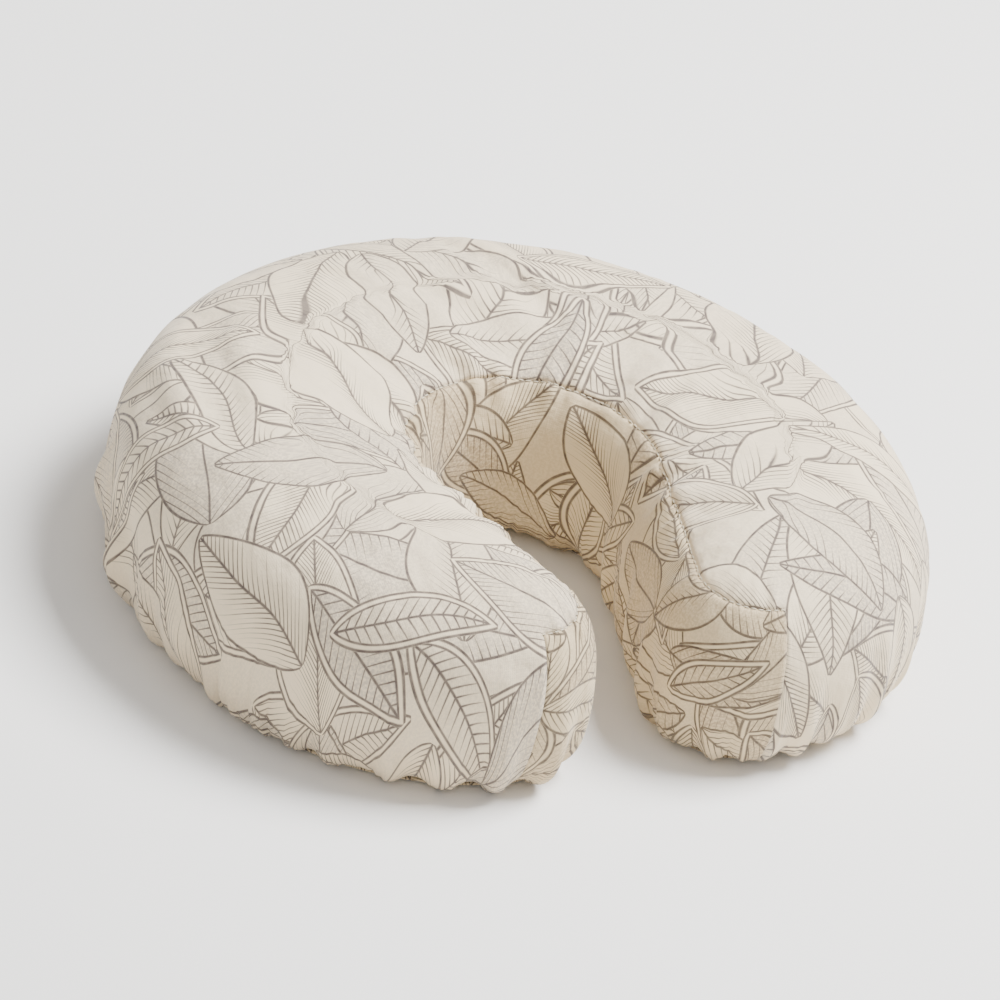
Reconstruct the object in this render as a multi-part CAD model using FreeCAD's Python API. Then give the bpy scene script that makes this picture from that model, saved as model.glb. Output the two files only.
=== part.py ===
"""Face cradle cushion: a crescent foam pad in a sewn vinyl skin, under a fitted cotton cover.

Millimetres, +Z up, the pad lying flat. The crescent is open towards -Y, its forehead end is
at +Y, and X = 0 is its plane of symmetry. The origin is the middle of the footprint, on the
plane of the fastening tape that meets the cradle's platform. Every layer is the same plan
outline, offset inwards or outwards, so that one set of sizes drives all of them.
"""

import FreeCAD
import Part
import math
import os

Vector = FreeCAD.Vector

# Plan of the pad's skin: tangent arcs, and one straight stretch in each arm
FOREHEAD_RADIUS = 152.0  # the round outer edge
SIDE_TURN_DEG = 25.0  # how far below the widest point the forehead arc runs
CHEEK_RADIUS = 100.0  # the tighter arc that closes each arm in
TIP_RADIUS = 32.0  # the round end of each arm
GAP_WIDTH = 34.0  # between the two tips
HOLE_RADIUS = 38.0  # the top of the face hole, about the forehead arc's own centre

# Section of the pad
PAD_HEIGHT = 72.0  # over the skin, from its bottom panel to its crown
SHOULDER_RADIUS = 29.0  # the rounded top edge
UNDER_EDGE_RADIUS = 13.0  # the rounded bottom edge
SKIN = 1.0  # vinyl
COMFORT_FOAM_HEIGHT = 26.0  # the soft upper layer
LAYER_GAP = 0.2  # between one layer or panel and the next

# Loop tape sewn under the pad
TAPE_THICKNESS = 2.5
TAPE_WIDTH = 25.0
TAPE_CORNER = 2.5
FOREHEAD_TAPE_LENGTH = 80.0
SIDE_TAPE_LENGTH = 66.0
TEMPLE_DEG = 34.0  # each tape's place round the forehead arc, from +X
CHEEK_DEG = -20.0
STITCH_INSET = 3.0  # from the tape's edge to its line of stitches
STITCH_GROOVE = 1.1  # how wide and how deep the stitches sink into the pile

# Thread
THREAD = 0.7
THREAD_GAP = 0.1

# Fitted cover
COTTON = 0.6  # one thickness of the cloth
COVER_GAP = 1.2  # the cover stands off the skin by this much
COVER_EDGE = 2.6  # height of the lower edge of the cover's walls
INNER_SEAM_DROP = 12.0  # the seam round the face hole, below the crown
HEM_TOP = 2.4  # height of the upper face of the cloth that turns in under the pad
HEM_REACH = 24.0  # how far it turns in
CASING_WIDTH = 9.4
CASING_BOTTOM = 0.2
CASING_WALL = 0.5
ELASTIC_GAP = 0.2

# Worked out from those
PAD_BOTTOM = TAPE_THICKNESS + LAYER_GAP
PAD_TOP = PAD_BOTTOM + PAD_HEIGHT
TOP_SEAM = PAD_TOP - SHOULDER_RADIUS
BOTTOM_SEAM = PAD_BOTTOM + UNDER_EDGE_RADIUS
FOAM_INSET = SKIN + LAYER_GAP
FOAM_SPLIT = PAD_TOP - FOAM_INSET - COMFORT_FOAM_HEIGHT
COVER_OUTSIDE = COVER_GAP + COTTON
BAND_MIDDLE = (FOREHEAD_RADIUS + HOLE_RADIUS) / 2
FAR = 1000.0  # longer than anything here
UP = math.pi / 2


def polar(centre, radius, angle):
    """The point at that radius and angle round a centre, in the plan."""
    return centre + Vector(radius * math.cos(angle), radius * math.sin(angle), 0)


class Plan:
    """Centres and angles of the crescent's arcs, for its right half."""

    turn = -math.radians(SIDE_TURN_DEG)
    middle = Vector(0, 0, 0)  # of the forehead arc and of the hole
    cheek = polar(middle, FOREHEAD_RADIUS - CHEEK_RADIUS, turn)
    tip_x = GAP_WIDTH / 2 + TIP_RADIUS
    tip_turn = -math.acos((tip_x - cheek.x) / (CHEEK_RADIUS - TIP_RADIUS))
    tip = polar(cheek, CHEEK_RADIUS - TIP_RADIUS, tip_turn)
    # The arm's straight stretch touches the hole's arc on one side and the tip's on the other
    side = math.atan2(tip.y, tip.x) + math.acos((HOLE_RADIUS + TIP_RADIUS) / tip.Length)
    lowest = tip.y - TIP_RADIUS if tip_turn > -UP else cheek.y - CHEEK_RADIUS
    footprint_y = (FOREHEAD_RADIUS + lowest) / 2


def mirrored(point):
    return Vector(-point.x, point.y, point.z)


def arc(centre, radius, start, end):
    """An arc from one angle to another, and its twin in the left half."""
    points = [polar(centre, radius, start + (end - start) * share) for share in (0, 0.5, 1)]
    return [Part.Arc(*[side(p) for p in points]).toShape() for side in (Vector, mirrored)]


def line(start, end):
    """A straight edge, and its twin in the left half."""
    return [Part.LineSegment(side(start), side(end)).toShape() for side in (Vector, mirrored)]


def inner_edges(offset):
    """The edges of the plan from the hole's top, down the arms' inner sides and round their tips."""
    hole = HOLE_RADIUS - offset
    tip = TIP_RADIUS + offset
    on_hole = polar(Plan.middle, hole, Plan.side)
    on_tip = polar(Plan.tip, tip, Plan.side - math.pi)
    return (
        arc(Plan.middle, hole, UP, Plan.side)
        + line(on_hole, on_tip)
        + arc(Plan.tip, tip, Plan.side - math.pi, Plan.tip_turn)
    )


def outer_edges(offset):
    """The edges of the plan from the forehead, round the outside to the arms' tips."""
    forehead = arc(Plan.middle, FOREHEAD_RADIUS + offset, UP, Plan.turn)
    return forehead + arc(Plan.cheek, CHEEK_RADIUS + offset, Plan.turn, Plan.tip_turn)


def wire(edges, height):
    """Those edges as one wire at that height, with the origin in the middle of the footprint."""
    made = Part.Wire(Part.__sortEdges__(edges))
    made.translate(Vector(0, -Plan.footprint_y, height))
    return made


def outline(offset, height):
    return wire(inner_edges(offset) + outer_edges(offset), height)


def slab(offset, low, high):
    """A flat-sided crescent, its plan offset outwards, between two heights."""
    return Part.Face(outline(offset, low)).extrude(Vector(0, 0, high - low))


def rounded(solid, height, radius):
    """The solid with its edges at that height rounded."""
    at = [e for e in solid.Edges if all(abs(v.Z - height) < 1e-6 for v in e.Vertexes)]
    return solid.makeFillet(radius, at)


def pillow(offset):
    """The pad's shape, offset outwards all over: broad round shoulders, a small round below."""
    low = PAD_BOTTOM - offset
    high = PAD_TOP + offset
    solid = rounded(slab(offset, low, high), high, SHOULDER_RADIUS + offset)
    return rounded(solid, low, UNDER_EDGE_RADIUS + offset)


def hood(offset):
    """The cover's shape: round shoulders over walls that drop straight to its lower edge."""
    high = PAD_TOP + offset
    return rounded(slab(offset, COVER_EDGE, high), high, SHOULDER_RADIUS + offset)


def layer(low, high):
    """All the space between two heights."""
    return Part.makeBox(2 * FAR, 2 * FAR, high - low, Vector(-FAR, -FAR, low))


def inner_half():
    """The space over the half of the band that faces the hole, parted at the tips' middles."""
    below = Plan.lowest - HEM_REACH
    corners = [Plan.tip, Vector(Plan.tip.x, below, 0), Vector(-Plan.tip.x, below, 0), mirrored(Plan.tip)]
    edges = arc(Plan.middle, BAND_MIDDLE, UP, Plan.turn)
    edges += line(polar(Plan.middle, BAND_MIDDLE, Plan.turn), Plan.tip)
    edges += [Part.LineSegment(a, b).toShape() for a, b in zip(corners, corners[1:])]
    return Part.Face(wire(edges, -FAR)).extrude(Vector(0, 0, 2 * FAR))


def tube(spine, diameter):
    """A round thread along a wire."""
    start = spine.OrderedEdges[0]
    at = start.valueAt(start.FirstParameter)
    along = start.tangentAt(start.FirstParameter)
    ring = Part.Wire(Part.Circle(at, along, diameter / 2).toShape())
    return spine.makePipeShell([ring], True, True)


def foams():
    core = pillow(-FOAM_INSET)
    half = LAYER_GAP / 2
    return {
        "comfort_foam": core.common(layer(FOAM_SPLIT + half, FAR)),
        "support_foam": core.common(layer(-FAR, FOAM_SPLIT - half)),
    }


def skins():
    """The vinyl panels, parted where the seams run."""
    shell = pillow(0).cut(pillow(-SKIN))
    half = LAYER_GAP / 2
    band = shell.common(layer(BOTTOM_SEAM + half, TOP_SEAM - half))
    return {
        "pad_top_panel": shell.common(layer(TOP_SEAM + half, FAR)),
        "pad_outer_band": band.cut(inner_half()),
        "pad_inner_band": band.common(inner_half()),
        "pad_bottom_panel": shell.common(layer(-FAR, BOTTOM_SEAM - half)),
    }


def pad_threads():
    offset = THREAD_GAP + THREAD / 2
    return {
        "pad_top_seam_thread": tube(outline(offset, TOP_SEAM), THREAD),
        "pad_bottom_seam_thread": tube(outline(offset, BOTTOM_SEAM), THREAD),
    }


def plate(length, inset, height):
    """A piece of the tape's size, inset all round, standing on Z = 0 with its middle over the origin."""
    wide = TAPE_WIDTH - 2 * inset
    long = length - 2 * inset
    box = Part.makeBox(wide, long, height, Vector(-wide / 2, -long / 2, 0))
    return box.makeFillet(TAPE_CORNER, [e for e in box.Edges if e.BoundBox.ZLength > height / 2])


def tape(length, degrees):
    """A straight piece of loop tape under the middle of the band at that angle, and its thread."""
    groove = plate(length, STITCH_INSET - STITCH_GROOVE / 2, STITCH_GROOVE)
    groove = groove.cut(plate(length, STITCH_INSET + STITCH_GROOVE / 2, STITCH_GROOVE))
    strip = plate(length, 0, TAPE_THICKNESS).cut(groove)
    stitched = plate(length, STITCH_INSET, STITCH_GROOVE / 2)
    path = next(face for face in stitched.Faces if face.normalAt(0, 0).z > 0.5).OuterWire
    pieces = [strip, tube(path, THREAD)]
    sag = BAND_MIDDLE - math.sqrt(BAND_MIDDLE**2 - (length / 2) ** 2)
    for piece in pieces:
        piece.translate(Vector(BAND_MIDDLE - sag / 2, 0, 0))
        piece.rotate(Vector(0, 0, 0), Vector(0, 0, 1), degrees)
        piece.translate(Vector(0, -Plan.footprint_y, 0))
    return pieces


def tapes():
    places = {"forehead": (FOREHEAD_TAPE_LENGTH, 90.0)}
    for place, degrees in (("temple", TEMPLE_DEG), ("cheek", CHEEK_DEG)):
        places[f"right_{place}"] = (SIDE_TAPE_LENGTH, degrees)
        places[f"left_{place}"] = (SIDE_TAPE_LENGTH, 180.0 - degrees)
    made = {}
    for place, (length, degrees) in places.items():
        strip, thread = tape(length, degrees)
        made[f"loop_tape_{place}"] = strip
        made[f"loop_tape_thread_{place}"] = thread
    return made


def cover_panels():
    """The printed top panel, which is also the outer wall, and the lining of the hole."""
    shell = hood(COVER_OUTSIDE).cut(hood(COVER_GAP))
    seam = PAD_TOP + COVER_OUTSIDE - INNER_SEAM_DROP
    half = LAYER_GAP / 2
    lining = shell.common(inner_half()).common(layer(-FAR, seam - half))
    cleared = inner_half().common(layer(-FAR, seam + half))
    return {"cover_top_panel": shell.cut(cleared), "cover_inner_panel": lining}


def cover_seam_thread():
    """The thread of the seam between those two, lying on the shoulder."""
    radius = SHOULDER_RADIUS + COVER_OUTSIDE
    lean = math.asin((radius - INNER_SEAM_DROP) / radius)
    lifted = radius + THREAD_GAP + THREAD / 2
    offset = COVER_OUTSIDE - radius + lifted * math.cos(lean)
    height = TOP_SEAM + lifted * math.sin(lean)
    return {"cover_seam_thread": tube(wire(inner_edges(offset), height), THREAD)}


def hem():
    """The cloth that is gathered in under the pad, with its casing, elastic and thread."""
    edge = COVER_OUTSIDE - HEM_REACH
    beyond = edge + CASING_WIDTH
    skirt = slab(COVER_OUTSIDE, HEM_TOP - COTTON, HEM_TOP).cut(slab(edge, -FAR, FAR))
    casing = slab(beyond, CASING_BOTTOM, HEM_TOP).cut(slab(edge, -FAR, FAR))
    room = slab(beyond - CASING_WALL, CASING_BOTTOM + CASING_WALL, HEM_TOP - CASING_WALL)
    room = room.cut(slab(edge + CASING_WALL, -FAR, FAR))
    inset = CASING_WALL + ELASTIC_GAP
    elastic = slab(beyond - inset, CASING_BOTTOM + inset, HEM_TOP - inset)
    elastic = elastic.cut(slab(edge + inset, -FAR, FAR))
    off = THREAD_GAP + THREAD / 2
    return {
        "cover_gathered_hem": skirt.fuse(casing).cut(room).removeSplitter(),
        "cover_elastic": elastic,
        "cover_hem_thread": tube(outline(beyond + off, HEM_TOP - COTTON - off), THREAD),
    }


def build():
    os.makedirs("parts", exist_ok=True)
    for maker in (foams, skins, pad_threads, tapes, cover_panels, cover_seam_thread, hem):
        for name, shape in maker().items():
            if not shape.Solids or not shape.isValid():
                raise RuntimeError(f"{name} has {len(shape.Solids)} solids, valid: {shape.isValid()}")
            Part.makeCompound(shape.Solids).exportStep(f"parts/{name}.step")
            print(f"{name}: {len(shape.Solids)} solid(s), {shape.Volume / 1000:.2f} cm3")
    print(f"footprint's middle is {Plan.footprint_y:.3f} mm from the hole's centre")


build()
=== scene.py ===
"""Looks of the face cradle cushion: a foam pad in sewn vinyl, under a fitted printed cotton cover.

Sizes are in millimetres until a mesh is made, which turns them to metres. +Z is up, +Y is the
forehead end, and the crescent opens towards -Y. The plan is the CAD's own, so that every layer
here is that outline, offset inwards or outwards.
"""

import math
from contextlib import contextmanager

import bmesh
import bpy
import numpy as np
from mathutils import Matrix, Vector
from mathutils.geometry import delaunay_2d_cdt


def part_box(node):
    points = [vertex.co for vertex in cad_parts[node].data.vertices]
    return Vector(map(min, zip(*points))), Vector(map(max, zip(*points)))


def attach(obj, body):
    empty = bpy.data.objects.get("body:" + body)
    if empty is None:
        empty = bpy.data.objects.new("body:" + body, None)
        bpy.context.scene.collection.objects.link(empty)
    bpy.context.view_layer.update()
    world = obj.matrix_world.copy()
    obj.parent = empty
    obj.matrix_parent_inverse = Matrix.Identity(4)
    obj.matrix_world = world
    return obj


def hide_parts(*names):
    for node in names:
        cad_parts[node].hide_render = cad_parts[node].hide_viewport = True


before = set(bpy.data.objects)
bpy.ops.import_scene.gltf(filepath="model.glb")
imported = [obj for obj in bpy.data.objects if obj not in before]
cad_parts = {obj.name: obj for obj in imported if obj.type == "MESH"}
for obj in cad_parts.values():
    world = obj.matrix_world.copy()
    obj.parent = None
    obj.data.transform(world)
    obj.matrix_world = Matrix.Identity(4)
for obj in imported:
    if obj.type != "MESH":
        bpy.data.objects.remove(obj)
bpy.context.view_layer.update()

MM = 0.001
UP = math.pi / 2

# ---------------------------------------------------------------- the plan, as in the CAD

FOREHEAD_RADIUS = 152.0
SIDE_TURN = math.radians(25.0)
CHEEK_RADIUS = 100.0
TIP_RADIUS = 32.0
GAP_WIDTH = 34.0
HOLE_RADIUS = 38.0
COVER_OFF = 1.8  # the cover's outside stands off the vinyl by this much
FOOTPRINT_Y = FOREHEAD_RADIUS + COVER_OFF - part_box("cover_top_panel")[1].y / MM

PAD_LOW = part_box("pad_bottom_panel")[0].z / MM
PAD_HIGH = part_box("pad_top_panel")[1].z / MM
TOP_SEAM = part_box("pad_top_panel")[0].z / MM
BOTTOM_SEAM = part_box("pad_bottom_panel")[1].z / MM
COVER_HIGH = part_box("cover_top_panel")[1].z / MM
HEM_REACH = 24.0


def polar(centre, radius, angle):
    return np.array(centre) + radius * np.array([math.cos(angle), math.sin(angle)])


class Plan:
    """Centres and angles of the crescent's arcs, for its right half, about the hole's centre."""

    middle = np.zeros(2)
    cheek = polar(middle, FOREHEAD_RADIUS - CHEEK_RADIUS, -SIDE_TURN)
    tip_x = GAP_WIDTH / 2 + TIP_RADIUS
    tip_turn = -math.acos((tip_x - cheek[0]) / (CHEEK_RADIUS - TIP_RADIUS))
    tip = polar(cheek, CHEEK_RADIUS - TIP_RADIUS, tip_turn)
    reach = math.hypot(*tip)
    side = math.atan2(tip[1], tip[0]) + math.acos((HOLE_RADIUS + TIP_RADIUS) / reach)


class Outline:
    """The plan, offset outwards: points evenly spaced clockwise from the forehead's middle.

    normals point outwards, along is the distance round, and inner says which points face the hole.
    """

    def __init__(self, offset, spacing):
        hole = HOLE_RADIUS - offset
        tip = TIP_RADIUS + offset
        runs = (
            self.arc(Plan.middle, FOREHEAD_RADIUS + offset, UP, -SIDE_TURN, 1),
            self.arc(Plan.cheek, CHEEK_RADIUS + offset, -SIDE_TURN, Plan.tip_turn, 1),
            self.arc(Plan.tip, tip, Plan.tip_turn, Plan.side - math.pi, 1),
            self.arc(Plan.middle, hole, Plan.side, UP, -1),
        )
        half = np.concatenate([points for points, _ in runs])
        normals = np.concatenate([normals for _, normals in runs])
        inner = np.concatenate([np.full(len(points), run > 1) for run, (points, _) in enumerate(runs)])
        inner &= half[:, 0] < Plan.tip_x
        flip = np.array([-1, 1])
        points = np.concatenate([half, half[-2:0:-1] * flip, half[:1]])
        normals = np.concatenate([normals, normals[-2:0:-1] * flip, normals[:1]])
        inner = np.concatenate([inner, inner[-2:0:-1], inner[:1]])
        steps = np.hypot(*np.diff(points, axis=0).T)
        along = np.concatenate([[0], np.cumsum(steps)])
        self.length = along[-1]
        self.count = 2 * round(self.length / spacing / 2)
        self.along = np.arange(self.count) * self.length / self.count
        self.points = np.stack([np.interp(self.along, along, points[:, i]) for i in (0, 1)], 1)
        normals = np.stack([np.interp(self.along, along, normals[:, i]) for i in (0, 1)], 1)
        self.normals = normals / np.linalg.norm(normals, axis=1)[:, None]
        self.inner = np.interp(self.along, along, inner) > 0.5

    @staticmethod
    def arc(centre, radius, start, end, outwards):
        count = max(8, round(abs(end - start) * radius * 4))
        angles = np.linspace(start, end, count)
        round_it = np.stack([np.cos(angles), np.sin(angles)], 1)
        return centre + radius * round_it, outwards * round_it

    def depth(self, points):
        """How deep inside the outline each point is, and which of the outline's points is nearest."""
        nearest = np.empty(len(points), int)
        for start in range(0, len(points), 2000):
            part = points[start : start + 2000, None]
            nearest[start : start + 2000] = ((part - self.points) ** 2).sum(2).argmin(1)
        inwards = self.points[nearest] - points
        return (inwards * self.normals[nearest]).sum(1), nearest


class Section:
    """A pillow's side seen in section: a full round shoulder, a belly and a tucked-under edge.

    depth is how far inside the outline, height is above the floor, and run is along the cloth,
    from the crown outwards and under.
    """

    def __init__(self, crown_depth, belly, high, low, tuck, fullness):
        self.crown_depth = crown_depth
        self.belly = belly
        self.high = high
        self.low = low
        self.fullness = fullness
        turn = np.linspace(UP, -UP, 4001)
        across = np.abs(np.cos(turn)) ** (2 / fullness)
        rise = np.abs(np.sin(turn)) ** (2 / fullness)
        above = turn > 0
        self.depths = np.where(above, crown_depth, tuck) * (1 - across)
        self.heights = belly + np.where(above, high - belly, low - belly) * rise
        steps = np.hypot(np.diff(self.depths), np.diff(self.heights))
        self.runs = np.concatenate([[0], np.cumsum(steps)])
        self.upper = int(np.argmin(np.abs(turn)))

    def height(self, depth):
        """Height of the top at that depth."""
        share = np.clip(1 - depth / self.crown_depth, 0, 1) ** self.fullness
        return self.belly + (self.high - self.belly) * (1 - share) ** (1 / self.fullness)

    def run_at(self, depth):
        """Distance along the cloth from the crown, on the top, at that depth."""
        return np.interp(-depth, -self.depths[: self.upper], self.runs[: self.upper])

    def loops(self, depth, spacing):
        """Depths, heights and runs of evenly spaced loops from that depth, outwards and under."""
        start = self.run_at(depth)
        runs = np.linspace(start, self.runs[-1], round((self.runs[-1] - start) / spacing) + 1)
        return [np.interp(runs, self.runs, values) for values in (self.depths, self.heights)] + [runs]


def smooth(low, high, value):
    """0 below low, 1 above high, and a smooth rise between."""
    share = np.clip((value - low) / (high - low), 0, 1)
    return share * share * (3 - 2 * share)


def ripples(along, period, seed, waves=5):
    """An uneven wave of about that period, between about -1 and 1."""
    rng = np.random.default_rng(seed)
    lengths = period * rng.uniform(0.6, 1.7, waves)
    phases = rng.uniform(0, 2 * math.pi, waves)
    parts = [np.sin(2 * math.pi * along / length + phase) for length, phase in zip(lengths, phases)]
    return sum(parts) / math.sqrt(waves)


def at_height(points, height):
    """Points of the plan, at one height or at a height each."""
    return np.column_stack([points, np.broadcast_to(height, len(points))])


def in_frame(points):
    """Points in the frame's metres, from millimetres about the hole's centre."""
    return (np.asarray(points, float) - [0, FOOTPRINT_Y, 0]) * MM


def linked(name, data):
    """A new object in the scene."""
    made = bpy.data.objects.new(name, data)
    bpy.context.collection.objects.link(made)
    return made


def in_materials(piece, *materials):
    """The piece, in those materials and no others."""
    piece.data.materials.clear()
    for material in materials:
        piece.data.materials.append(material)
    return piece


def mesh_object(name, points, faces, *materials):
    """An object at the origin, from points in millimetres about the hole's centre."""
    mesh = bpy.data.meshes.new(name)
    mesh.from_pydata(in_frame(points).tolist(), [], [list(map(int, face)) for face in faces])
    mesh.polygons.foreach_set("use_smooth", [True] * len(mesh.polygons))
    return in_materials(linked(name, mesh), *materials)


def rows_of(collection, attribute, width, kind=float):
    """One attribute of everything in a mesh's collection, in rows of that width."""
    flat = np.empty(width * len(collection), kind)
    collection.foreach_get(attribute, flat)
    return flat.reshape(-1, width)


def coordinates(mesh):
    """A mesh's points, in millimetres about the hole's centre."""
    return rows_of(mesh.vertices, "co", 3) / MM + [0, FOOTPRINT_Y, 0]


def set_coordinates(mesh, points):
    mesh.vertices.foreach_set("co", in_frame(points).ravel())
    mesh.update()


def point_normals(mesh):
    return rows_of(mesh.vertices, "normal", 3)


def applied(piece):
    """Turns a piece and its modifiers into a plain mesh."""
    graph = bpy.context.evaluated_depsgraph_get()
    mesh = bpy.data.meshes.new_from_object(piece.evaluated_get(graph))
    piece.modifiers.clear()
    piece.data = mesh
    return piece


def modified(piece, kind, **settings):
    """The plain mesh that one modifier makes of a piece."""
    modifier = piece.modifiers.new(kind, kind)
    for name, value in settings.items():
        setattr(modifier, name, value)
    return applied(piece)


def subdivided(piece):
    return modified(piece, "SUBSURF", levels=1, render_levels=1)


def thickened(piece, thickness, **settings):
    """The piece with that thickness in millimetres, grown inwards from its faces."""
    return modified(piece, "SOLIDIFY", thickness=thickness * MM, offset=-1, **settings)


@contextmanager
def editing(mesh):
    """A mesh's points, edges and faces to work on, written back at the end."""
    work = bmesh.new()
    work.from_mesh(mesh)
    yield work
    work.to_mesh(mesh)
    work.free()


def outwards(piece):
    """Turns all faces of a closed piece outwards."""
    with editing(piece.data) as work:
        bmesh.ops.recalc_face_normals(work, faces=work.faces)


def wall_faces(rows, count, closed=False):
    """Quads between each loop of points and the next, and where closed on to the first again."""
    faces = []
    for row in range(rows if closed else rows - 1):
        here, there = row * count, (row + 1) % rows * count
        for i in range(count):
            beside = (i + 1) % count
            faces.append((here + i, here + beside, there + beside, there + i))
    return faces


# ---------------------------------------------------------------- the crescent as a sheet

RIM_DEPTH = 14.0  # the top is a lattice further in than this, and loops of the outline outside it


class Shell:
    """A sheet over the crescent's section: points, faces, and each point's place on the sheet."""

    def __init__(self, offset, section, spacing, closed=False):
        self.outline = Outline(offset, spacing)
        depths, heights, runs = section.loops(RIM_DEPTH, spacing)
        count = self.outline.count
        loops = self.outline.points[None] - self.outline.normals[None] * depths[:, None, None]
        lattice = self.lattice(loops[0], RIM_DEPTH, spacing)
        inside, nearest = self.outline.depth(lattice)
        walls = [at_height(loop, height) for loop, height in zip(loops, heights)]
        self.points = np.concatenate([*walls, at_height(lattice, section.height(inside))])
        self.column = np.concatenate([np.tile(np.arange(count), len(runs)), nearest])
        self.run = np.concatenate([np.repeat(runs, count), section.run_at(inside)])
        self.depth = np.concatenate([np.repeat(depths, count), inside])
        self.loop_runs = runs
        self.faces = wall_faces(len(runs), count)
        self.faces += self.filled(loops[0], lattice, 0, len(runs) * count)
        if closed:
            under = self.lattice(loops[-1], depths[-1], spacing)
            first = len(self.points)
            filled = self.filled(loops[-1], under, (len(runs) - 1) * count, first)
            self.faces += [face[::-1] for face in filled]
            inside, nearest = self.outline.depth(under)
            self.points = np.concatenate([self.points, at_height(under, section.low)])
            self.column = np.concatenate([self.column, nearest])
            self.run = np.concatenate([self.run, runs[-1] + inside - depths[-1]])
            self.depth = np.concatenate([self.depth, inside])
        self.inner = self.outline.inner[self.column]
        self.along = self.outline.along[self.column]

    def lattice(self, rim, rim_depth, spacing):
        """Points evenly spread inside a loop that lies that deep inside the outline."""
        low, high = rim.min(0), rim.max(0)
        rows = np.arange(low[1], high[1], spacing * math.sqrt(3) / 2)
        starts = [low[0] + spacing * (row % 2) / 2 for row in range(len(rows))]
        columns = [np.arange(start, high[0], spacing) for start in starts]
        grid = np.array([(x, y) for xs, y in zip(columns, rows) for x in xs])
        depth, _ = self.outline.depth(grid)
        return grid[depth > rim_depth + 0.6 * spacing]

    def filled(self, rim, lattice, first_of_rim, first_of_lattice):
        """Triangles from a loop inwards."""
        count = len(rim)
        points = [Vector(p) for p in np.concatenate([rim, lattice])]
        edges = [(i, (i + 1) % count) for i in range(count)]
        _, _, triangles, origins, _, _ = delaunay_2d_cdt(points, edges, [], 1, 1e-6)
        index = [found[0] for found in origins]
        place = [i + first_of_rim if i < count else i - count + first_of_lattice for i in index]
        return [tuple(place[i] for i in triangle) for triangle in triangles]


# ---------------------------------------------------------------- the fitted cover

CLOTH_SPACING = 3.5
COTTON = 0.7
FLOOR_GAP = 0.3  # the cloth stays this far above the floor
COVER_SECTION = Section(crown_depth=46, belly=34, high=COVER_HIGH + 1.6, low=2.8, tuck=14, fullness=2.55)
SEAM_RUN = float(COVER_SECTION.loops(RIM_DEPTH, CLOTH_SPACING)[2][1])  # the seam is on this loop
CLOTH_SLACK = 0.05  # how much longer the cloth is than the pad, near its seam and its hem
DROP_SHARE = 0.8  # of the wall's true drop on the flat cloth, so that the print spreads less
CLOTH_FRAMES = 22
# How far the settled cloth may go from the pad: out, in and sideways
PUFF, PRESS, SLIP = 3.6, 0.4, 2.5
TOP, LINING = range(2)


def dist_to_path(points, path):
    """Distance in the plan to a path of straight runs, and how far along it, from 0 to 1."""
    path = np.array(path, float)
    lengths = np.hypot(*np.diff(path, axis=0).T)
    best = np.full(len(points), 1e9)
    share = np.zeros(len(points))
    done = 0.0
    for start, end, length in zip(path, path[1:], lengths):
        t = np.clip((points - start) @ (end - start) / length**2, 0, 1)
        distance = np.hypot(*(points - start - t[:, None] * (end - start)).T)
        nearer = distance < best
        best[nearer] = distance[nearer]
        share[nearer] = (done + t[nearer] * length) / lengths.sum()
        done += length
    return best, share


# Soft folds in the plan, from the outer end to the inner: path, width, depth
FOLDS = (
    (((14, 134), (26, 108), (33, 84), (38, 62)), 5.0, 2.9),
    (((-18, 108), (-4, 88), (8, 70), (14, 54)), 6.0, 1.9),
    (((-58, 66), (-44, 52), (-34, 40)), 5.0, 1.6),
    (((-90, 98), (-105, 72), (-113, 42), (-119, 8)), 7.0, 3.0),
    (((-128, 66), (-136, 40), (-137, 18)), 4.0, 1.2),
    (((76, 26), (60, 16), (46, 10)), 4.5, 1.4),
    (((-66, -34), (-52, -38), (-42, -40)), 4.0, 1.2),
    (((64, -62), (50, -60), (40, -56)), 4.5, 1.4),
)
# Puckers that stand out of the wall: degrees round from +X, height, size, how far out
PUCKERS = (
    (24, 58, 7.0, 4.2),
    (15, 47, 6.0, 3.4),
    (8, 36, 7.5, 4.6),
    (70, 60, 8.0, 2.6),
    (158, 30, 9.0, 3.0),
    (173, 22, 8.0, 3.6),
    (192, 26, 9.0, 2.4),
    (-8, 24, 8.0, 2.6),
)


def away_from_tips(points):
    """1 over most of the cover and less near the arms' ends, where the cloth is cut to fit."""
    beside = np.abs(points[:, 0]) - Plan.tip[0]
    near = np.hypot(beside, points[:, 1] - Plan.tip[1])
    return 1 - 0.8 * np.exp(-((near / 46) ** 4))


def cover_sheet():
    """The whole cover as one sheet, with its two parts marked, and a map of each on the cloth."""
    shell = Shell(COVER_OFF, COVER_SECTION, CLOTH_SPACING)
    piece = mesh_object("cover_sheet", shell.points, shell.faces)
    # Cloth round the wall was cut as a larger shape: lay it out beyond the outline
    window = round(32 / CLOTH_SPACING)
    kernel = np.ones(2 * window + 1) / (2 * window + 1)
    normals = shell.outline.normals
    wrapped = np.concatenate([normals[-window:], normals, normals[:window]])
    spread = np.stack([np.convolve(wrapped[:, i], kernel, "valid") for i in (0, 1)], 1)
    fall = shell.run + shell.depth - COVER_SECTION.crown_depth
    laid_out = shell.points[:, :2] + spread[shell.column] * DROP_SHARE * np.maximum(fall, 0)[:, None]
    round_hole = np.stack([shell.along, shell.run - SEAM_RUN], 1)
    for name, values in (("Cloth", laid_out), ("Round", round_hole)):
        add_map(piece.data, name, values * MM)
    # The lining is what faces the hole, below the seam
    lining = shell.inner & (shell.run > SEAM_RUN - 0.1)
    slots = [LINING if all(lining[i] for i in face) else TOP for face in shell.faces]
    piece.data.polygons.foreach_set("material_index", slots)
    return piece, shell


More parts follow.
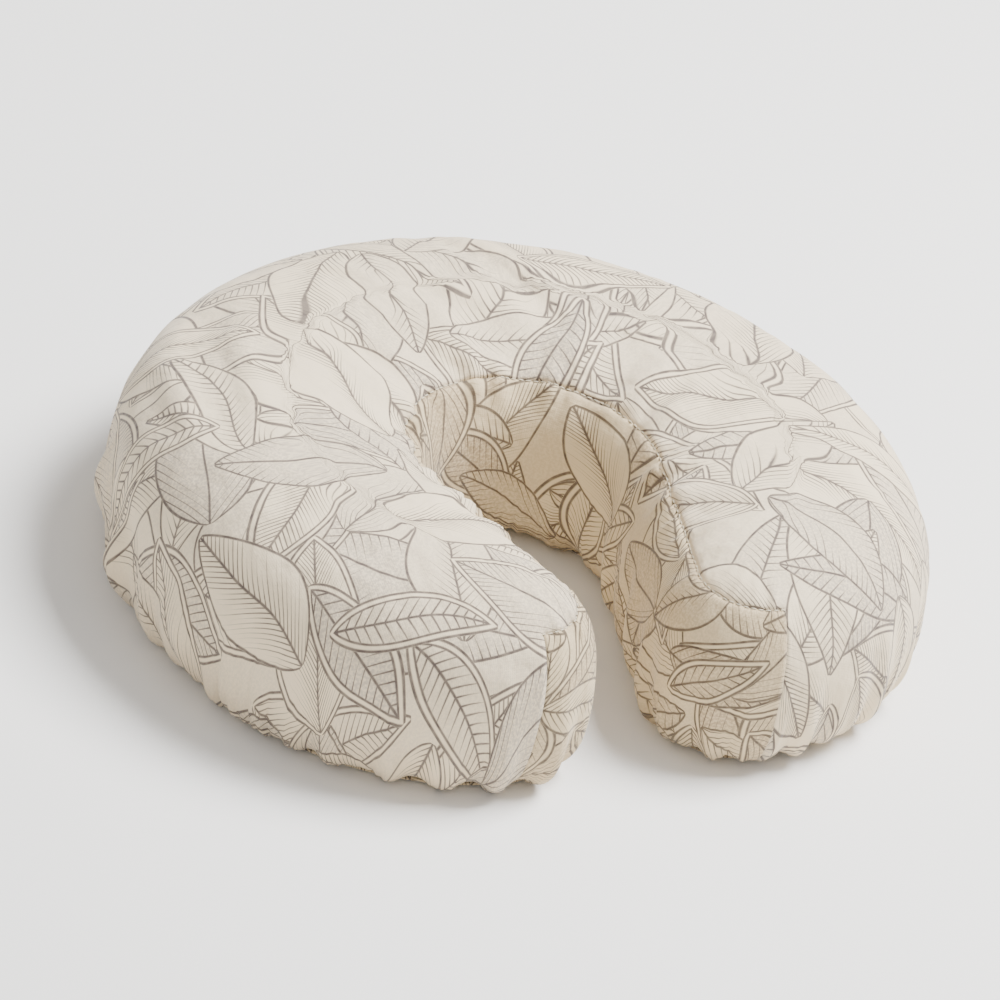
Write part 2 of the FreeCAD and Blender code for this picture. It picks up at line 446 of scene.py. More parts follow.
def add_map(mesh, name, values):
    """A UV map from one value for each point."""
    corners = rows_of(mesh.loops, "vertex_index", 1, int)[:, 0]
    mesh.uv_layers.new(name=name).data.foreach_set("uv", values[corners].astype(np.float32).ravel())


def settle_cloth(piece, shell):
    """Cotton that is a little too big near its seam and its hem, puffed out over the pad."""
    low_edge = smooth(COVER_SECTION.runs[-1] - 7, COVER_SECTION.runs[-1] - 2, shell.run)
    near_hem = smooth(COVER_SECTION.runs[-1] - 55, COVER_SECTION.runs[-1] - 5, shell.run)
    near_seam = shell.inner * (1 - smooth(3, 26, np.abs(shell.run - SEAM_RUN)))
    near_seam *= away_from_tips(shell.points)
    fullness = np.clip(0.25 + 0.55 * near_hem + 0.75 * near_seam, 0, 1)
    start = coordinates(piece.data)
    normals = point_normals(piece.data)
    unevenness = 0.25 * ripples(shell.along, 9, 3) * ripples(shell.run + shell.points[:, 0], 13, 4)
    set_coordinates(piece.data, start + normals * unevenness[:, None])
    for name, weights in (("held", low_edge), ("full", fullness)):
        group = piece.vertex_groups.new(name=name)
        for index, weight in enumerate(weights):
            group.add([index], float(weight), "REPLACE")
    cloth = piece.modifiers.new("Cloth", "CLOTH")
    settings = cloth.settings
    settings.quality = 5
    settings.mass = 0.02
    settings.tension_stiffness = settings.compression_stiffness = 12
    settings.shear_stiffness = 4
    settings.bending_stiffness = 0.35
    settings.vertex_group_mass = "held"
    settings.vertex_group_shrink = "full"
    settings.shrink_min = 0.0
    settings.shrink_max = -CLOTH_SLACK
    settings.use_pressure = True
    settings.uniform_pressure_force = 2.2
    settings.effector_weights.gravity = 0
    cloth.collision_settings.use_collision = False
    cloth.point_cache.frame_start = 1
    cloth.point_cache.frame_end = CLOTH_FRAMES
    for number in range(1, CLOTH_FRAMES + 1):
        bpy.context.scene.frame_set(number)
    graph = bpy.context.evaluated_depsgraph_get()
    settled = coordinates(piece.evaluated_get(graph).data)
    bpy.context.scene.frame_set(1)
    piece.modifiers.clear()
    # The pad stops it going in, and the elastic stops it going far out
    moved = settled - start
    rise = (moved * normals).sum(1)
    held_in = np.where(rise > 0, PUFF * np.tanh(rise / PUFF), PRESS * np.tanh(rise / PRESS))
    sideways = moved - rise[:, None] * normals
    sideways *= np.minimum(1, SLIP / np.maximum(np.linalg.norm(sideways, axis=1), 1e-6))[:, None]
    free = 1 - smooth(COVER_SECTION.runs[-1] - 5, COVER_SECTION.runs[-1], shell.run)
    set_coordinates(piece.data, start + (sideways + held_in[:, None] * normals) * free[:, None])


def cloth_maps(mesh):
    """Each point's place on the two maps, in millimetres."""
    corners = rows_of(mesh.loops, "vertex_index", 1, int)[:, 0]
    found = []
    for name in ("Cloth", "Round"):
        values = np.zeros((len(mesh.vertices), 2))
        values[corners] = rows_of(mesh.uv_layers[name].data, "uv", 2) / MM
        found.append(values)
    return found


def crease_cloth(piece):
    """Folds, puckers and gathers that the seam, the hem and wear leave in the cloth."""
    mesh = piece.data
    points = coordinates(mesh)
    normals = point_normals(mesh)
    _, around = cloth_maps(mesh)
    along, below_seam = around.T
    outline = Outline(COVER_OFF, 2.0)
    depth, nearest = outline.depth(points[:, :2])
    inner = outline.inner[nearest] & (depth < 45)
    high = points[:, 2]
    end = COVER_SECTION.runs[-1] - SEAM_RUN
    push = np.zeros(len(points))
    # Soft folds over the top
    for path, width, deep in FOLDS:
        distance, share = dist_to_path(points[:, :2], path)
        fade = np.sin(math.pi * np.clip(share, 0.04, 0.96)) ** 0.6
        valley = -deep * np.exp(-((distance / width) ** 2))
        banks = 0.55 * deep * np.exp(-(((distance - 1.9 * width) / (1.1 * width)) ** 2))
        push += (valley + banks) * fade * smooth(20, 45, high)
    # Gathers along the seam round the hole, and the seam's own furrow
    from_seam = np.abs(below_seam)
    gathers = 1.6 * ripples(along, 12, 5) + 0.8 * ripples(along, 6, 6)
    fitted = inner * away_from_tips(points)
    push += fitted * gathers * np.exp(-((from_seam / 8) ** 2))
    rays = 1.2 * ripples(along + 0.12 * below_seam, 17, 7) * np.exp(-((below_seam + 14) / 20) ** 2)
    push += fitted * rays
    push -= inner * 1.1 * np.exp(-((from_seam / 1.3) ** 2))
    # Gathers that the hem's elastic draws up the walls
    drawn = smooth(end - 62, end - 6, below_seam)
    pleats = 1.7 * ripples(along + 0.15 * below_seam, 14, 8) + 1.0 * np.abs(ripples(along, 7, 9))
    push += pleats * drawn
    # Puckers on the walls
    for degrees, level, size, out in PUCKERS:
        angle = math.radians(degrees)
        spot = polar((0, 0), FOREHEAD_RADIUS, angle)
        gap = np.hypot(np.hypot(*(points[:, :2] - spot).T), 0.8 * (high - level))
        bump, moat = np.exp(-((gap / size) ** 2)), np.exp(-(((gap - 1.7 * size) / (0.7 * size)) ** 2))
        push += out * (bump - 0.5 * moat)
    # Slight overall unevenness
    push += 0.35 * ripples(points[:, 0] + 0.4 * points[:, 1], 46, 10) * ripples(points[:, 1], 38, 11)
    push *= 1 - smooth(end - 3, end, below_seam)
    push = np.where(push < 0, 1.4 * np.tanh(push / 1.4), push)
    points += normals * push[:, None]
    points[:, 2] = np.maximum(points[:, 2], FLOOR_GAP)
    set_coordinates(mesh, points)


def parted(piece, slot, name):
    """A copy of the piece with only the faces of one slot."""
    mesh = piece.data.copy()
    with editing(mesh) as work:
        others = [face for face in work.faces if face.material_index != slot]
        bmesh.ops.delete(work, geom=others, context="FACES")
        for face in work.faces:
            face.material_index = 0
    return linked(name, mesh)


def thick_cloth(piece, face, back):
    """One thickness of cloth, its printed face outside and its back inside."""
    return thickened(in_materials(piece, face, back), COTTON, material_offset=1, material_offset_rim=0)


# ---------------------------------------------------------------- materials


def linear(hex_colour):
    """An sRGB hex value as linear red, green, blue and alpha."""
    parts = [int(hex_colour[i : i + 2], 16) / 255 for i in (1, 3, 5)]
    return [c / 12.92 if c <= 0.04045 else ((c + 0.055) / 1.055) ** 2.4 for c in parts] + [1.0]


def add(tree, kind, sockets=(), **settings):
    """Adds a node with its settings; sockets are its inputs' values, or the nodes linked to them."""
    made = tree.nodes.new(kind)
    for name, value in settings.items():
        setattr(made, name, value)
    for key, value in (sockets.items() if isinstance(sockets, dict) else enumerate(sockets)):
        if isinstance(value, bpy.types.Node):
            value = value.outputs[0]
        if isinstance(value, bpy.types.NodeSocket):
            tree.links.new(value, made.inputs[key])
        else:
            made.inputs[key].default_value = value
    return made


def new_material(name):
    """A material with its shader, and the tree that they are in."""
    material = bpy.data.materials.new(name)
    material.use_nodes = True
    tree = material.node_tree
    return material, tree, tree.nodes["Principled BSDF"]


# ---- the cloth's print: plain leaves, scattered by chance and drawn in fine lines

# All of it is sums on single numbers, because the renderer runs out of room for values when a
# long print passes vectors from node to node.
LINE = 0.5  # half the width of a drawn line, in millimetres
NUMBER = "NodeSocketFloat"
MATH, VECTORS, RANGE = "ShaderNodeMath", "ShaderNodeVectorMath", "ShaderNodeMapRange"
DRAWN = ("Ink", "Wash", "Cover")
LEAF_SIZES = ("Length", "Half width", "Border", "Veins", "Slant", "Reach", "From rib", "Shade")


def stroke(tree, distance, half_width=LINE):
    """Ink within half a line's width of its middle, soft at the edges."""
    size = add(tree, MATH, (distance,), operation="ABSOLUTE")
    return add(tree, RANGE, {0: size, 1: 0.6 * half_width, 2: 1.5 * half_width, 3: 1.0, 4: 0.0})


def to_stripe(tree, value, pitch):
    """Distance from the nearest of evenly spaced lines."""
    count = add(tree, MATH, (value, pitch), operation="DIVIDE")
    part = add(tree, MATH, (count,), operation="FRACT")
    middle = add(tree, MATH, (part, 0.5), operation="SUBTRACT")
    return add(tree, MATH, (middle, pitch), operation="MULTIPLY")


def hypotenuse(tree, x, y):
    square = add(tree, MATH, (y, y), operation="MULTIPLY")
    total = add(tree, MATH, (x, x, square), operation="MULTIPLY_ADD")
    return add(tree, MATH, (total,), operation="SQRT")


def both(tree, first, second):
    """Ink where both are."""
    return add(tree, MATH, (first, second), operation="MULTIPLY")


def chance(tree, number):
    """An even, uneven-looking number from 0 to 1 for each whole number."""
    spread = add(tree, MATH, (number, 12.9898), operation="MULTIPLY")
    wave = add(tree, MATH, (spread,), operation="SINE")
    large = add(tree, MATH, (wave, 437.585), operation="MULTIPLY")
    return add(tree, MATH, (large,), operation="FRACT")


def print_group(name, sizes):
    """A node group for part of the print, with named sizes in and what is drawn out."""
    group = bpy.data.node_groups.new(name, "ShaderNodeTree")
    for way, labels in (("INPUT", ("X", "Y", *sizes)), ("OUTPUT", DRAWN)):
        for label in labels:
            group.interface.new_socket(label, in_out=way, socket_type=NUMBER)
    return group, add(group, "NodeGroupInput"), add(group, "NodeGroupOutput")


def leaf_group():
    """A plain leaf along Y about its middle: an outline, a line inside it, a midrib and veins.

    The veins start at the inner line or, where From rib is 1, at the midrib, and fade over Reach.
    """
    tree, given, made = print_group("Leaf", LEAF_SIZES)
    size = given.outputs
    across = add(tree, MATH, (size["X"],), operation="ABSOLUTE")
    share = add(tree, MATH, (size["Y"], size["Length"]), operation="DIVIDE")
    share = add(tree, MATH, (share, 0.5), operation="ADD", use_clamp=True)
    skewed = add(tree, MATH, (share, 0.85), operation="POWER")
    turn = add(tree, MATH, (skewed, math.pi), operation="MULTIPLY")
    swell = add(tree, MATH, (turn,), operation="SINE")
    full = add(tree, MATH, (swell, 0.85), operation="POWER")
    half = add(tree, MATH, (full, size["Half width"]), operation="MULTIPLY")
    # The outline slopes, so what is beside it is nearer to it than it seems
    slant = add(tree, MATH, (turn,), operation="COSINE")
    steep = add(tree, MATH, (size["Half width"], size["Length"]), operation="DIVIDE")
    slope = add(tree, MATH, (slant, steep), operation="MULTIPLY")
    slope = add(tree, MATH, (slope, 2.6), operation="MULTIPLY")
    beside = add(tree, MATH, (half, across), operation="SUBTRACT")
    edge = add(tree, MATH, (beside, hypotenuse(tree, slope, 1.0)), operation="DIVIDE")
    inner = add(tree, MATH, (edge, size["Border"]), operation="SUBTRACT")
    within = add(tree, MATH, (edge, -LINE), operation="GREATER_THAN")
    cover = both(tree, within, add(tree, MATH, (swell, 0.02), operation="GREATER_THAN"))
    core = add(tree, MATH, (inner, 0.0), operation="GREATER_THAN")
    # Veins that slant off the midrib, each with its own reach
    slanted = add(tree, MATH, (across, size["Slant"]), operation="MULTIPLY")
    veined = add(tree, MATH, (size["Y"], slanted), operation="SUBTRACT")
    to_vein = add(tree, MATH, (to_stripe(tree, veined, size["Veins"]),), operation="ABSOLUTE")
    number = add(tree, MATH, (veined, size["Veins"]), operation="DIVIDE")
    number = add(tree, MATH, (number,), operation="FLOOR")
    spread = add(tree, MATH, (chance(tree, number), 0.8, 0.5), operation="MULTIPLY_ADD")
    reach = add(tree, MATH, (spread, size["Reach"]), operation="MULTIPLY")
    start = add(tree, "ShaderNodeMix", {0: size["From rib"], 2: inner, 3: across})
    gone = add(tree, MATH, (start, reach), operation="DIVIDE")
    thinner = add(tree, MATH, (gone, 1.3 * LINE, to_vein), operation="MULTIPLY_ADD")
    veins = add(tree, RANGE, {0: thinner, 1: 0.45 * LINE, 2: 1.3 * LINE, 3: 1.0, 4: 0.0})
    ink = stroke(tree, edge)
    inside = both(tree, stroke(tree, across, 0.9 * LINE), core), both(tree, veins, core)
    for other in (stroke(tree, inner, 0.8 * LINE), *inside):
        ink = add(tree, MATH, (ink, other), operation="MAXIMUM")
    shaded = both(tree, core, size["Shade"])
    drawn = both(tree, ink, cover), both(tree, shaded, cover), cover
    for label, node in zip(DRAWN, drawn):
        tree.links.new(node.outputs[0], made.inputs[label])
    return tree


LEAF = leaf_group()


def scatter_group():
    """One leaf in each square of a grid, each turned, veined and bordered by chance."""
    tree, given, made = print_group("Scattered leaves", ("Square", "Layer"))
    size = given.outputs
    square = size["Square"]
    own, seed = [], size["Layer"]
    for label, factor in (("X", 3.71), ("Y", 8.53)):
        count = add(tree, MATH, (size[label], square), operation="DIVIDE")
        count = add(tree, MATH, (size["Layer"], 0.1 * factor, count), operation="MULTIPLY_ADD")
        number = add(tree, MATH, (count,), operation="FLOOR")
        seed = add(tree, MATH, (number, factor, seed), operation="MULTIPLY_ADD")
        part = add(tree, MATH, (count,), operation="FRACT")
        middle = add(tree, MATH, (part, 0.5), operation="SUBTRACT")
        own.append(add(tree, MATH, (middle, square), operation="MULTIPLY"))
    red, green, blue, turn = (
        chance(tree, add(tree, MATH, (seed, shift), operation="ADD")) for shift in (0.0, 1.9, 4.3, 7.7)
    )
    angle = add(tree, MATH, (turn, 2 * math.pi), operation="MULTIPLY")
    cosine = add(tree, MATH, (angle,), operation="COSINE")
    sine = add(tree, MATH, (angle,), operation="SINE")
    back = add(tree, MATH, (sine, -1.0), operation="MULTIPLY")
    x = add(tree, MATH, (own[0], cosine, both(tree, own[1], sine)), operation="MULTIPLY_ADD")
    y = add(tree, MATH, (own[0], back, both(tree, own[1], cosine)), operation="MULTIPLY_ADD")
    slimness = add(tree, MATH, (red, 0.14, 0.15), operation="MULTIPLY_ADD")
    bordered = add(tree, MATH, (green, 0.6), operation="GREATER_THAN")
    sizes = {
        "X": x,
        "Y": y,
        "Length": both(tree, square, 0.99),
        "Half width": both(tree, slimness, square),
        "Border": both(tree, bordered, 2.2),
        "Veins": add(tree, MATH, (blue, 2.4, 2.2), operation="MULTIPLY_ADD"),
        "Slant": add(tree, MATH, (red, 1.4, 0.5), operation="MULTIPLY_ADD"),
        "Reach": add(tree, MATH, (green, 20.0, 8.0), operation="MULTIPLY_ADD"),
        "From rib": add(tree, MATH, (blue, 0.75), operation="LESS_THAN"),
        "Shade": add(tree, MATH, (blue, 1.3, -0.4), operation="MULTIPLY_ADD", use_clamp=True),
    }
    leaf = add(tree, "ShaderNodeGroup", sizes, node_tree=LEAF)
    for label in DRAWN:
        tree.links.new(leaf.outputs[label], made.inputs[label])
    return tree


SCATTER = scatter_group()
GROUND_WASH = 0.3


def turned_axes(tree, x, y, degrees):
    """X and Y in axes turned by that much."""
    cosine, sine = math.cos(math.radians(degrees)), math.sin(math.radians(degrees))
    made = []
    for on_x, on_y in ((cosine, sine), (-sine, cosine)):
        part = add(tree, MATH, (y, on_y), operation="MULTIPLY")
        made.append(add(tree, MATH, (x, on_x, part), operation="MULTIPLY_ADD"))
    return made


def printed(tree, place, square, layers):
    """The whole print at a place on the cloth, in millimetres: its ink and its wash."""
    parts = add(tree, "ShaderNodeSeparateXYZ", (place,))
    x, y = parts.outputs["X"], parts.outputs["Y"]
    ink, wash = 0.0, GROUND_WASH
    for layer in range(layers):
        across, along = turned_axes(tree, x, y, 50 * layer - 30)
        given = (across, along, square - 4.0 * layer, 1.7 * layer + 0.6)
        leaves = add(tree, "ShaderNodeGroup", given, node_tree=SCATTER)
        cover = leaves.outputs["Cover"]
        ink = add(tree, "ShaderNodeMix", {0: cover, 2: ink, 3: leaves.outputs["Ink"]})
        wash = add(tree, "ShaderNodeMix", {0: cover, 2: wash, 3: leaves.outputs["Wash"]})
    return ink, wash


def cotton(name, cloth, ink, wash, map_name, square, layers, low_painted_shade):
    """Plain-woven cotton with a line print in pigment: matt, with a faint nap at grazing angles.

    The weave's threads are three times as wide as the real ones, so that it shows.
    """
    material, tree, shader, place = cloth_material(name, map_name)
    wobble = add(tree, "ShaderNodeTexNoise", {"Vector": place, "Scale": 0.022, "Detail": 0.0})
    shift = add(tree, VECTORS, (wobble.outputs["Color"], (0.5, 0.5, 0.5)), operation="SUBTRACT")
    wide = add(tree, VECTORS, (shift, (13.0, 13.0, 0.0)), operation="MULTIPLY")
    hand_drawn = add(tree, VECTORS, (place, wide), operation="ADD")
    drawn, shaded = printed(tree, hand_drawn, square, layers)
    # The pigment is uneven, and the wash is stippled
    patchy = add(tree, "ShaderNodeTexNoise", {"Vector": place, "Scale": 0.3, "Detail": 4.0})
    strength = add(tree, RANGE, {0: patchy, 1: 0.3, 2: 0.7, 3: 0.8, 4: 1.0})
    inked = both(tree, drawn, strength)
    grain = add(tree, "ShaderNodeTexNoise", {"Vector": place, "Scale": 0.9, "Detail": 2.0})
    speckle = add(tree, RANGE, {0: grain, 1: 0.42, 2: 0.56, 3: 0.3, 4: 0.95})
    washed = both(tree, shaded, speckle)
    # Painted shade: the cloth is tinted warmer and darker low down, in patches
    where = add(tree, "ShaderNodeTexCoord").outputs["Object"]
    height = add(tree, "ShaderNodeSeparateXYZ", (where,))
    low = add(tree, RANGE, {0: height.outputs["Z"], 1: 0.0, 2: 0.062, 3: low_painted_shade, 4: 0.0})
    painted_shade_patches = add(tree, "ShaderNodeTexNoise", {"Vector": where, "Scale": 11.0, "Detail": 3.0})
    colour = linear(cloth)
    for share, tint in ((both(tree, low, painted_shade_patches), "#D8BE92"), (washed, wash), (inked, ink)):
        mixed = add(tree, "ShaderNodeMix", {0: share, 6: colour, 7: linear(tint)}, data_type="RGBA")
        colour = mixed.outputs[2]
    tree.links.new(colour, shader.inputs["Base Color"])
    add_weave(tree, shader, place, crinkle=3.5)
    return material


def cloth_material(name, map_name):
    """A matt fibre surface with a faint nap, and the place on its cloth in millimetres."""
    material, tree, shader = new_material(name)
    shader.inputs["Roughness"].default_value = 0.88
    shader.inputs["Specular IOR Level"].default_value = 0.25
    shader.inputs["Sheen Weight"].default_value = 0.18
    shader.inputs["Sheen Roughness"].default_value = 0.5
    laid = add(tree, "ShaderNodeUVMap", uv_map=map_name)
    return material, tree, shader, add(tree, VECTORS, {0: laid, "Scale": 1 / MM}, operation="SCALE")


def add_weave(tree, shader, place, crinkle, pitch=0.8, depth=0.07):
    """Bump from crossed threads of that pitch, over soft crinkles that high, in millimetres."""
    threads = []
    for turn in (0.0, UP):
        sockets = {"Vector": place, "Angle": turn}
        thread = add(tree, "ShaderNodeVectorRotate", sockets, rotation_type="Z_AXIS")
        threads.append(add(tree, "ShaderNodeTexWave", {"Vector": thread, "Scale": math.pi / 10 / pitch}))
    weave = add(tree, MATH, [bands.outputs["Fac"] for bands in threads], operation="MAXIMUM")
    sockets = {"Vector": place, "Scale": 0.09, "Detail": 4.0, "Roughness": 0.45}
    folds = add(tree, "ShaderNodeTexNoise", sockets)
    soft = add(tree, MATH, (folds, crinkle), operation="MULTIPLY")
    height = add(tree, MATH, (weave, depth, soft), operation="MULTIPLY_ADD")
    bump = add(tree, "ShaderNodeBump", {"Height": height, "Distance": MM, "Strength": 0.6})
    tree.links.new(bump.outputs[0], shader.inputs["Normal"])


def plain_cotton(name, colour):
    """The unprinted back of the cotton: the weave, and a faint ghost of the print."""
    material, tree, shader, place = cloth_material(name, "Cloth")
    ghost = add(tree, "ShaderNodeTexNoise", {"Vector": place, "Scale": 0.12, "Detail": 5.0})
    share = add(tree, RANGE, {0: ghost, 1: 0.45, 2: 0.7, 3: 0.0, 4: 0.35})
    two_colours(tree, shader, share, colour, "#BFB6A8")
    add_weave(tree, shader, place, crinkle=2.0)
    return material


def two_colours(tree, shader, share, first, second):
    """Colours a surface with the first where the share is 0 and the second where it is 1."""
    sockets = {0: share, 6: linear(first), 7: linear(second)}
    mixed = add(tree, "ShaderNodeMix", sockets, data_type="RGBA")
    tree.links.new(mixed.outputs[2], shader.inputs["Base Color"])


def solid_material(name):
    """A material on Object coordinates, and the place in them in millimetres."""
    material, tree, shader = new_material(name)
    where = add(tree, "ShaderNodeTexCoord").outputs["Object"]
    return material, tree, shader, add(tree, VECTORS, {0: where, "Scale": 1 / MM}, operation="SCALE")


def relief(tree, shader, height, depth, strength):
    """Bump from a height, which is scaled to that depth in millimetres."""
    scaled = add(tree, MATH, (height, depth), operation="MULTIPLY")
    bump = add(tree, "ShaderNodeBump", {"Height": scaled, "Distance": MM, "Strength": strength})
    tree.links.new(bump.outputs[0], shader.inputs["Normal"])


def grained(name, light, dark, cell, depth, roughness, noise_scale):
    """A material with cells in its surface, on Object coordinates: foam's pores or vinyl's grain."""
    material, tree, shader, place = solid_material(name)
    cells = add(tree, "ShaderNodeTexVoronoi", {"Vector": place, "Scale": 1 / cell}, feature="SMOOTH_F1")
    clouds = add(tree, "ShaderNodeTexNoise", {"Vector": place, "Scale": noise_scale, "Detail": 4.0})
    share = add(tree, MATH, (cells.outputs["Distance"], 0.5, clouds), operation="MULTIPLY_ADD")
    share = add(tree, RANGE, {0: share, 1: 0.45, 2: 1.0, 3: 0.0, 4: 1.0})
    two_colours(tree, shader, share, light, dark)
    worn = add(tree, RANGE, {0: clouds, 1: 0.3, 2: 0.7, 3: roughness - 0.06, 4: roughness + 0.06})
    tree.links.new(worn.outputs[0], shader.inputs["Roughness"])
    relief(tree, shader, cells.outputs["Distance"], depth, 0.7)
    return material, shader


def yarn(name, light, dark, pitch, roughness):
    """Spun or woven fibre, on Object coordinates: fine slanting strands that catch the light."""
    material, tree, shader, place = solid_material(name)
    sockets = {"Vector": place, "Scale": math.pi / 10 / pitch, "Distortion": 1.5}
    strands = add(tree, "ShaderNodeTexWave", sockets, bands_direction="DIAGONAL")
    fluff = add(tree, "ShaderNodeTexNoise", {"Vector": place, "Scale": 0.7, "Detail": 3.0})
    share = both(tree, strands.outputs["Fac"], fluff)
    two_colours(tree, shader, share, dark, light)
    relief(tree, shader, strands.outputs["Fac"], 0.15 * pitch, 0.6)
    shader.inputs["Roughness"].default_value = roughness
    shader.inputs["Sheen Weight"].default_value = 0.15
    return material


# Cloth, ink and wash, the map, the print's square and layers, and how strong the painted warm shade is low
# down
COTTON_TOP, SHADED_COTTON_LINING, COTTON_HEM = (
    cotton("printed_cotton_" + name, *looks)
    for name, *looks in (
        ("plain_weave", "#EBD9BA", "#574C48", "#B5A897", "Cloth", 92.0, 8, 0.8),
        # The lining's cloth, ink and wash are darker and browner than the top's: painted shade, as inside the
        # hole
        ("lining_weave_painted_shade", "#D6C29D", "#54473C", "#A38E70", "Round", 66.0, 6, 0.8),
        ("gathered_weave", "#E8D6B5", "#574C48", "#B5A897", "Cloth", 80.0, 5, 0.5),
    )
)
COTTON_BACK = plain_cotton("cotton_unprinted_back", "#EAE3D6")
# Pores drawn 1.3 mm across, about twice the real ones
COMFORT_FOAM, _ = grained("soft_polyurethane_foam_cut", "#EADBB2", "#C9B684", 1.3, 0.5, 0.92, 0.03)
SUPPORT_FOAM, _ = grained("firm_polyurethane_foam_cut", "#A9B2BC", "#838D99", 1.1, 0.4, 0.92, 0.03)
# Vinyl is pressed with a leather grain, and its topcoat gives a broad soft gloss
VINYL, vinyl_shader = grained("pvc_vinyl_leather_grain", "#CFC3AC", "#B7A98E", 1.5, 0.12, 0.46, 0.02)
vinyl_shader.inputs["Specular IOR Level"].default_value = 0.45
POLYESTER_THREAD = yarn("polyester_thread_twisted", "#B9AB92", "#94866D", 0.5, 0.55)
COTTON_THREAD = yarn("cotton_thread_twisted", "#E2D9C6", "#C4B89F", 0.5, 0.75)
LOOP_TAPE = yarn("nylon_loop_pile_brushed", "#2A2A2D", "#141416", 0.8, 0.6)
ELASTIC = yarn("rubber_elastic_woven", "#F0EEE8", "#CFCBC2", 1.2, 0.7)


# ---------------------------------------------------------------- stitches and loops


def geometry_tree(name, sizes):
    """A tree with geometry in and out and named sizes."""
    tree = bpy.data.node_groups.new(name, "GeometryNodeTree")
    labels = [("Geometry", "NodeSocketGeometry"), ("Material", "NodeSocketMaterial")]
    for label, kind in labels + [(size, NUMBER) for size in sizes]:
        tree.interface.new_socket(label, in_out="INPUT", socket_type=kind)
    tree.interface.new_socket("Geometry", in_out="OUTPUT", socket_type="NodeSocketGeometry")
    return tree, add(tree, "NodeGroupInput").outputs, add(tree, "NodeGroupOutput")


def ended(tree, instances, given, made):
    """Real geometry with smooth faces and its material."""
    real = add(tree, "GeometryNodeRealizeInstances", (instances,))
    soft = add(tree, "GeometryNodeSetShadeSmooth", (real,))
    sockets = {"Geometry": soft, "Material": given["Material"]}
    painted = add(tree, "GeometryNodeSetMaterial", sockets)
    tree.links.new(painted.outputs[0], made.inputs[0])
    return tree


def stitch_tree():
    """Short round stitches, evenly spaced along a path of edges."""
    tree, given, made = geometry_tree("Stitches", ("Pitch", "Thread", "Stitch"))
    curve = add(tree, "GeometryNodeMeshToCurve", (given["Geometry"],))
    sockets = {"Curve": curve, "Length": given["Pitch"]}
    spaced = add(tree, "GeometryNodeResampleCurve", sockets, mode="LENGTH")
    points = add(tree, "GeometryNodeCurveToPoints", (spaced,), mode="EVALUATED")
    sockets = {"Vector": points.outputs["Tangent"]}
    lying = add(tree, "FunctionNodeAlignRotationToVector", sockets, axis="Z")
    stitch = add(tree, "GeometryNodeMeshUVSphere", {"Segments": 8, "Rings": 6, "Radius": 0.5})
    size = add(tree, "ShaderNodeCombineXYZ", (given["Thread"], given["Thread"], given["Stitch"]))
    sockets = {"Points": points.outputs["Points"], "Instance": stitch, "Rotation": lying, "Scale": size}
    return ended(tree, add(tree, "GeometryNodeInstanceOnPoints", sockets), given, made)


def loop_tree():
    """A small standing loop of yarn on each point, turned by chance."""
    tree, given, made = geometry_tree("Loop pile", ("Width", "Height", "Yarn"))
    radius = add(tree, MATH, (given["Width"], 0.5), operation="MULTIPLY")
    sockets = {"Resolution": 6, "Radius": radius, "Start Angle": math.pi, "Sweep Angle": math.pi}
    arc = add(tree, "GeometryNodeCurveArc", sockets)
    ring = add(tree, "GeometryNodeCurvePrimitiveCircle", {"Resolution": 4, "Radius": given["Yarn"]})
    sockets = {"Curve": arc, "Profile Curve": ring.outputs["Curve"]}
    loop = add(tree, "GeometryNodeCurveToMesh", sockets)
    upright = add(tree, "GeometryNodeTransform", {"Geometry": loop, "Rotation": (UP, 0, 0)})
    turn = add(tree, "FunctionNodeRandomValue", {2: 0.0, 3: 2 * math.pi, "Seed": 7}, data_type="FLOAT")
    about = add(tree, "ShaderNodeCombineXYZ", (0.0, 0.0, turn.outputs[1]))
    taller = add(tree, MATH, (given["Height"], radius), operation="DIVIDE")
    size = add(tree, "ShaderNodeCombineXYZ", (1.0, 1.0, taller))
    sockets = {"Points": given["Geometry"], "Instance": upright, "Rotation": about, "Scale": size}
    return ended(tree, add(tree, "GeometryNodeInstanceOnPoints", sockets), given, made)


def grown(name, points, edges, tree, material, sizes):
    """The plain mesh that a tree makes on points, which are in millimetres about the hole's centre."""
    mesh = bpy.data.meshes.new(name)
    mesh.from_pydata(in_frame(points).tolist(), edges, [])
    piece = linked(name, mesh)
    modifier = piece.modifiers.new(tree.name, "NODES")
    modifier.node_group = tree
    values = {"Material": material, **{label: size * MM for label, size in sizes.items()}}
    for socket in tree.interface.items_tree:
        if socket.in_out == "INPUT" and socket.name in values:
            modifier[socket.identifier] = values[socket.name]
    return applied(piece)


STITCHES, LOOPS = stitch_tree(), loop_tree()


def stitched(name, path, thread, material, pitch=3.4, closed=True):
    """A line of stitches along a path."""
    last = len(path) if closed else len(path) - 1
    edges = [(i, (i + 1) % len(path)) for i in range(last)]
    sizes = {"Pitch": pitch, "Thread": thread, "Stitch": 0.8 * pitch}
    return grown(name, path, edges, STITCHES, material, sizes)


# ---------------------------------------------------------------- the cover's pieces


def seam_path(piece):
    """The line of the seam round the hole on the creased cloth, from one arm's end to the other's."""
    points = coordinates(piece.data)
    _, around = cloth_maps(piece.data)
    outline = Outline(COVER_OFF, 1.5)
    found = []
    near = np.abs(around[:, 1]) < 5
    points, around = points[near], around[near]
    for place in outline.along[outline.inner]:
        gap = (around[:, 0] - place) ** 2 + around[:, 1] ** 2
        share = np.exp(-gap / 1.5)
        if share.sum() > 1e-3:
            found.append((points * share[:, None]).sum(0) / share.sum())
    return np.array(found)


HEM_COTTON = 0.35
GATHERED = 1.2  # the casing was cut this much longer than the elastic draws it in to


